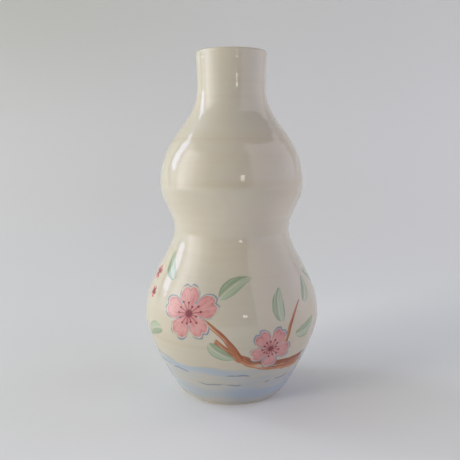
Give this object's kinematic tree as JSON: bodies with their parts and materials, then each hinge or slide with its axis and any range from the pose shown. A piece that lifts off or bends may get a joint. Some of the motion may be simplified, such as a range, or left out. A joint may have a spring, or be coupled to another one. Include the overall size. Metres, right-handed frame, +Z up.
{
  "type": "bud vase",
  "caption": "Double-gourd ceramic bud vase: narrow neck, small upper bulb, waist and wide lower bulb on a trimmed foot ring, for flower stems.",
  "frame": {"origin": "centre of the foot ring on the surface that the vase stands on", "axes": "+Z up along the axis of the vase; X and Y are alike on the shape, and -Y faces the painted front"},
  "size_m": [0.104, 0.104, 0.2],
  "materials": {
    "clay": "bare fired pale stoneware, fine and matt, seen only at the foot ring",
    "outer_glaze": "clear gloss glaze over cream clay with brush-painted underglaze blossoms, leaves and a pale blue foot wash",
    "liner_glaze": "clear gloss glaze over cream clay, unpainted",
    "recess_glaze": "clear gloss glaze over cream clay, unpainted"
  },
  "bodies": {
    "root": {"clay_body": "clay", "outer_glaze": "outer_glaze", "liner_glaze": "liner_glaze", "recess_glaze": "recess_glaze"}
  },
  "joints": []
}
